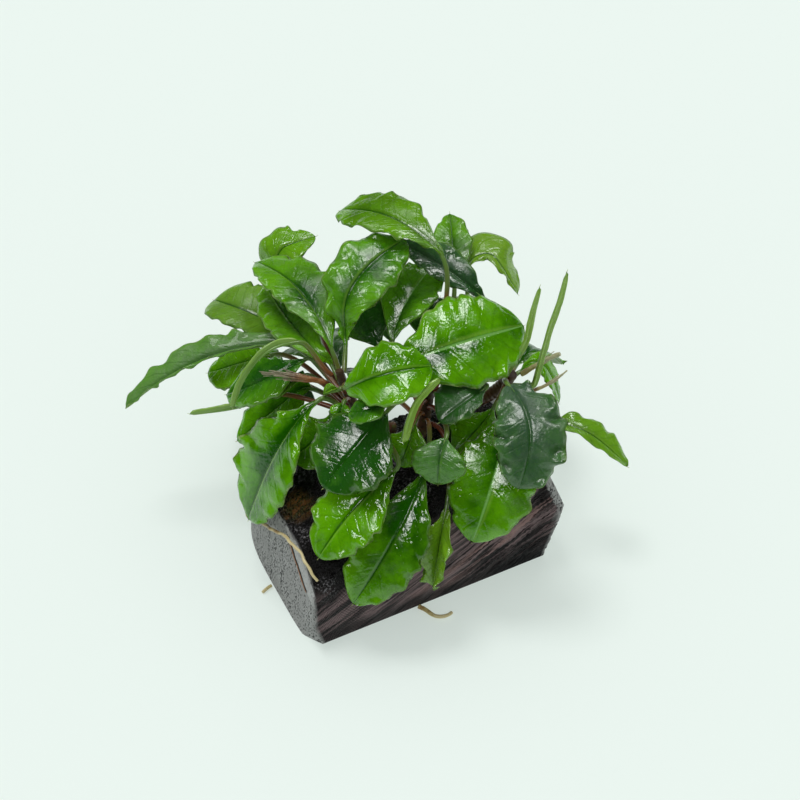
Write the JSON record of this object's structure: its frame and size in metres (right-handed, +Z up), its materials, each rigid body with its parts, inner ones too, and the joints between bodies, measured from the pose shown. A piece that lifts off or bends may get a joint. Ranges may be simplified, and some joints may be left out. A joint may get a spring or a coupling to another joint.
{
  "type": "epiphytic aquarium plant on driftwood",
  "caption": "Small aquarium plant with glossy wavy oval leaves on creeping stems, rooted on a saw-cut half-round block of dark driftwood that stands on its flat underside.",
  "frame": {"origin": "middle of the driftwood block's flat underside, on the surface it stands on", "axes": "+X along the block towards its taller end, +Y towards its back, +Z up"},
  "size_m": [0.1571, 0.1421, 0.1085],
  "materials": {
    "driftwood": "wet dark, saw-cut ends matt grey",
    "stem": "satin",
    "root": "matt",
    "leaf_bright": "glossy",
    "leaf_dark": "glossy",
    "leaf_grey": "silky sheen",
    "leaf_pale": "satin underside"
  },
  "bodies": {
    "root": {"driftwood": "driftwood", "creeping_stem_left": "stem", "creeping_stem_middle": "stem", "creeping_stem_right": "stem", "old_stalk_left": "stem", "old_stalk_right_1": "stem", "old_stalk_right_2": "stem", "root_left": "root", "root_ground_left": "root", "root_ground_front": "root", "leaf_back_1": "leaf_bright", "leaf_back_2": "leaf_dark", "leaf_back_3": "leaf_bright", "leaf_back_4": "leaf_pale", "leaf_left_1": "leaf_bright", "leaf_left_2": "leaf_dark", "leaf_left_3": "leaf_bright", "leaf_left_4": "leaf_pale", "leaf_left_5": "leaf_dark", "leaf_left_6": "leaf_dark", "leaf_left_7": "leaf_bright", "leaf_left_8": "leaf_pale", "leaf_left_9": "leaf_pale", "leaf_left_10": "leaf_dark", "leaf_left_11": "leaf_dark", "leaf_front_1": "leaf_bright", "leaf_front_2": "leaf_bright", "leaf_front_3": "leaf_bright", "leaf_front_4": "leaf_bright", "leaf_front_5": "leaf_grey", "leaf_front_6": "leaf_bright", "leaf_front_7": "leaf_pale", "leaf_front_8": "leaf_bright", "leaf_front_9": "leaf_dark", "leaf_front_10": "leaf_bright", "leaf_front_11": "leaf_grey", "leaf_front_12": "leaf_grey", "leaf_front_13": "leaf_bright", "young_leaf_1": "leaf_bright", "young_leaf_2": "leaf_bright", "leaf_right_1": "leaf_grey", "leaf_right_2": "leaf_pale", "leaf_right_3": "leaf_pale", "leaf_right_4": "leaf_bright", "leaf_right_5": "leaf_bright", "leaf_middle_1": "leaf_grey", "leaf_middle_2": "leaf_bright", "leaf_middle_3": "leaf_bright", "leaf_middle_4": "leaf_dark", "leaf_middle_5": "leaf_pale", "leaf_middle_6": "leaf_dark", "leaf_hidden_1": "leaf_bright", "leaf_hidden_2": "leaf_bright", "leaf_hidden_3": "leaf_bright", "leaf_hidden_4": "leaf_bright", "leaf_hidden_5": "leaf_bright", "leaf_hidden_6": "leaf_bright", "leaf_hidden_7": "leaf_bright", "leaf_hidden_8": "leaf_bright"}
  },
  "joints": []
}
